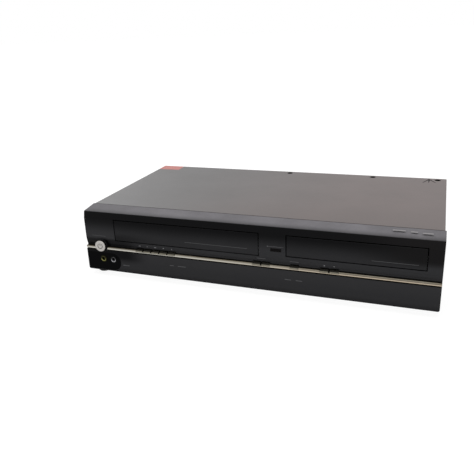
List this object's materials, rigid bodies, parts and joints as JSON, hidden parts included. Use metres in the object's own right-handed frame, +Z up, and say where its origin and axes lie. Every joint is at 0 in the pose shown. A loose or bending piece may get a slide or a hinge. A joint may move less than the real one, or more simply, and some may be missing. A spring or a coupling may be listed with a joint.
{
  "type": "disc and tape combo player",
  "caption": "Slim home deck: a flap-fronted slot takes a video tape cassette on the left and a motor tray takes a disc on the right, with a metallic stripe of keys between.",
  "frame": {"origin": "centre of the bounding box, on the plane the feet stand on", "axes": "+X to the viewer's right along the front, +Y to the back, +Z up"},
  "size_m": [0.435, 0.2504, 0.09],
  "materials": {
    "cover_paint": "dark warm grey powder paint, satin",
    "front_moulding": "charcoal plastic, semi-gloss",
    "door_face": "charcoal plastic with a gloss lacquer",
    "lower_skin": "satin dark grey",
    "pocket_gloss": "glossy black",
    "stripe_metallic": "champagne metallic",
    "key_metallic": "champagne metallic, slightly duller",
    "button_silver": "silver satin",
    "yellow_collar": "yellow plastic",
    "white_collar": "white plastic",
    "dark_window": "dark red-black filter",
    "zinc_steel": "zinc-plated sheet steel",
    "machined_alloy": "turned alloy",
    "bright_steel": "ground steel",
    "black_rubber": "black rubber",
    "black_screw": "blackened steel",
    "circuit_board": "green lacquered laminate",
    "black_acetal": "black acetal",
    "white_acetal": "natural acetal",
    "motor_can": "plated motor can"
  },
  "bodies": {
    "case": {"bottom_chassis": "zinc_steel", "feet": "black_rubber", "top_cover": "cover_paint", "cover_screws": "black_screw", "front_panel": "front_moulding", "trim_stripe": "stripe_metallic", "lower_panel": "lower_skin", "jack_pocket": "pocket_gloss", "video_jack": "yellow_collar", "audio_jack": "white_collar", "sensor_window": "dark_window", "front_board": "circuit_board", "holder_brackets": "zinc_steel", "deck_plate": "zinc_steel", "lower_drum": "machined_alloy", "capstan_motor": "circuit_board", "tape_heads": "black_acetal", "loading_motor": "motor_can", "loader_frame": "black_acetal", "clamp_bridge": "zinc_steel", "tray_motor": "motor_can", "main_board": "circuit_board", "power_board": "circuit_board", "rear_panel": "zinc_steel", "rear_jacks": "black_acetal", "aerial_sockets": "zinc_steel", "cord_gland": "black_rubber"},
    "power_button": {"power_button": "button_silver"},
    "tape_key_1": {"tape_key_1": "key_metallic"},
    "tape_key_2": {"tape_key_2": "key_metallic"},
    "tape_key_3": {"tape_key_3": "key_metallic"},
    "tape_key_4": {"tape_key_4": "key_metallic"},
    "tape_key_5": {"tape_key_5": "key_metallic"},
    "middle_key_1": {"middle_key_1": "key_metallic"},
    "middle_key_2": {"middle_key_2": "key_metallic"},
    "single_key": {"single_key": "key_metallic"},
    "disc_key_1": {"disc_key_1": "key_metallic"},
    "disc_key_2": {"disc_key_2": "key_metallic"},
    "cassette_door": {"cassette_door": "door_face"},
    "holder_carriage": {"holder_carriage": "zinc_steel"},
    "cassette_holder": {"cassette_holder": "zinc_steel"},
    "upper_drum": {"upper_drum": "machined_alloy"},
    "capstan": {"capstan": "bright_steel"},
    "pinch_arm": {"pinch_arm": "bright_steel"},
    "pinch_roller": {"pinch_roller": "black_rubber"},
    "supply_reel": {"supply_reel": "black_acetal"},
    "takeup_reel": {"takeup_reel": "black_acetal"},
    "left_guide": {"left_guide": "white_acetal"},
    "right_guide": {"right_guide": "white_acetal"},
    "cam_gear": {"cam_gear": "white_acetal"},
    "loading_worm": {"loading_worm": "white_acetal"},
    "disc_tray": {"disc_tray": "black_acetal", "tray_front": "door_face"},
    "tray_gear": {"tray_gear": "white_acetal"},
    "traverse": {"traverse_frame": "zinc_steel", "guide_rods": "bright_steel"},
    "turntable": {"turntable": "black_acetal"},
    "pickup_sled": {"pickup_sled": "black_acetal"},
    "lead_screw": {"lead_screw": "bright_steel"},
    "disc_clamper": {"disc_clamper": "white_acetal"}
  },
  "joints": [
    {"name": "power_press", "type": "slide", "parent": "case", "child": "power_button", "axis": [0, 1, 0], "range_m": [0, 0.0008], "stiffness_N_per_m": 400, "springref_m": -0.001},
    {"name": "tape_key_1_press", "type": "slide", "parent": "case", "child": "tape_key_1", "axis": [0, 1, 0], "range_m": [0, 0.0008], "stiffness_N_per_m": 300, "springref_m": -0.001},
    {"name": "tape_key_2_press", "type": "slide", "parent": "case", "child": "tape_key_2", "axis": [0, 1, 0], "range_m": [0, 0.0008], "stiffness_N_per_m": 300, "springref_m": -0.001},
    {"name": "tape_key_3_press", "type": "slide", "parent": "case", "child": "tape_key_3", "axis": [0, 1, 0], "range_m": [0, 0.0008], "stiffness_N_per_m": 300, "springref_m": -0.001},
    {"name": "tape_key_4_press", "type": "slide", "parent": "case", "child": "tape_key_4", "axis": [0, 1, 0], "range_m": [0, 0.0008], "stiffness_N_per_m": 300, "springref_m": -0.001},
    {"name": "tape_key_5_press", "type": "slide", "parent": "case", "child": "tape_key_5", "axis": [0, 1, 0], "range_m": [0, 0.0008], "stiffness_N_per_m": 300, "springref_m": -0.001},
    {"name": "middle_key_1_press", "type": "slide", "parent": "case", "child": "middle_key_1", "axis": [0, 1, 0], "range_m": [0, 0.0008], "stiffness_N_per_m": 300, "springref_m": -0.001},
    {"name": "middle_key_2_press", "type": "slide", "parent": "case", "child": "middle_key_2", "axis": [0, 1, 0], "range_m": [0, 0.0008], "stiffness_N_per_m": 300, "springref_m": -0.001},
    {"name": "single_key_press", "type": "slide", "parent": "case", "child": "single_key", "axis": [0, 1, 0], "range_m": [0, 0.0008], "stiffness_N_per_m": 300, "springref_m": -0.001},
    {"name": "disc_key_1_press", "type": "slide", "parent": "case", "child": "disc_key_1", "axis": [0, 1, 0], "range_m": [0, 0.0008], "stiffness_N_per_m": 300, "springref_m": -0.001},
    {"name": "disc_key_2_press", "type": "slide", "parent": "case", "child": "disc_key_2", "axis": [0, 1, 0], "range_m": [0, 0.0008], "stiffness_N_per_m": 300, "springref_m": -0.001},
    {"name": "door_swing", "type": "hinge", "parent": "case", "child": "cassette_door", "pos_m": [-0.07815, -0.11775, 0.0794], "axis": [1, 0, 0], "range_deg": [0, 88], "stiffness_Nm_per_rad": 0.003, "springref_deg": -34.38},
    {"name": "carriage_load", "type": "slide", "parent": "case", "child": "holder_carriage", "axis": [0, 1, 0], "range_m": [0, 0.068]},
    {"name": "holder_drop", "type": "slide", "parent": "holder_carriage", "child": "cassette_holder", "axis": [0, 0, -1], "range_m": [0, 0.024]},
    {"name": "drum_spin", "type": "hinge", "parent": "case", "child": "upper_drum", "pos_m": [-0.07815, 0.07425, 0.03], "axis": [0, 0, 1], "continuous": true},
    {"name": "capstan_spin", "type": "hinge", "parent": "case", "child": "capstan", "pos_m": [-0.02215, 0.04525, 0.03], "axis": [0, 0, 1], "continuous": true},
    {"name": "pinch_press", "type": "hinge", "parent": "case", "child": "pinch_arm", "pos_m": [0.00185, 0.06325, 0.03], "axis": [0, 0, -1], "range_deg": [0, 18], "stiffness_Nm_per_rad": 0.002, "springref_deg": -17.19},
    {"name": "roller_spin", "type": "hinge", "parent": "pinch_arm", "child": "pinch_roller", "pos_m": [-0.00773, 0.03331, 0.04], "axis": [0, 0, 1], "continuous": true},
    {"name": "supply_spin", "type": "hinge", "parent": "case", "child": "supply_reel", "pos_m": [-0.12465, -0.01375, 0.03], "axis": [0, 0, 1], "continuous": true},
    {"name": "takeup_spin", "type": "hinge", "parent": "case", "child": "takeup_reel", "pos_m": [-0.03165, -0.01375, 0.03], "axis": [0, 0, 1], "continuous": true},
    {"name": "left_guide_run", "type": "slide", "parent": "case", "child": "left_guide", "axis": [-0.1168, 0.9932, 0], "range_m": [0, 0.034]},
    {"name": "right_guide_run", "type": "slide", "parent": "case", "child": "right_guide", "axis": [0.1168, 0.9932, 0], "range_m": [0, 0.034]},
    {"name": "cam_turn", "type": "hinge", "parent": "case", "child": "cam_gear", "pos_m": [-0.16215, 0.07725, 0.034], "axis": [0, 0, 1], "range_deg": [0, 300]},
    {"name": "worm_turn", "type": "hinge", "parent": "case", "child": "loading_worm", "pos_m": [-0.16215, 0.09576, 0.0342], "axis": [1, 0, 0], "range_deg": [0, 9000]},
    {"name": "tray_slide", "type": "slide", "parent": "case", "child": "disc_tray", "axis": [0, -1, 0], "range_m": [0, 0.14]},
    {"name": "tray_gear_turn", "type": "hinge", "parent": "case", "child": "tray_gear", "pos_m": [0.0791, -0.09675, 0.055], "axis": [0, 0, 1], "range_deg": [0, 803]},
    {"name": "traverse_tilt", "type": "hinge", "parent": "case", "child": "traverse", "pos_m": [0.126, 0.04925, 0.04875], "axis": [-1, 0, 0], "range_deg": [0, 4.6]},
    {"name": "disc_spin", "type": "hinge", "parent": "traverse", "child": "turntable", "pos_m": [0.126, -0.03875, 0.055], "axis": [0, 0, 1], "continuous": true},
    {"name": "sled_slide", "type": "slide", "parent": "traverse", "child": "pickup_sled", "axis": [0, 1, 0], "range_m": [0, 0.032]},
    {"name": "screw_turn", "type": "hinge", "parent": "traverse", "child": "lead_screw", "pos_m": [0.163, 0.00125, 0.0454], "axis": [0, 1, 0], "range_deg": [0, 3840]},
    {"name": "clamper_spin", "type": "hinge", "parent": "case", "child": "disc_clamper", "pos_m": [0.126, -0.03875, 0.07], "axis": [0, 0, 1], "continuous": true}
  ],
  "couplings": [
    {"joint": "right_guide_run", "follows": "left_guide_run", "ratio": 1},
    {"joint": "worm_turn", "follows": "cam_turn", "ratio": 30},
    {"joint": "tray_gear_turn", "follows": "tray_slide", "rad_per_m": 100},
    {"joint": "screw_turn", "follows": "sled_slide", "rad_per_m": 2094.4}
  ]
}
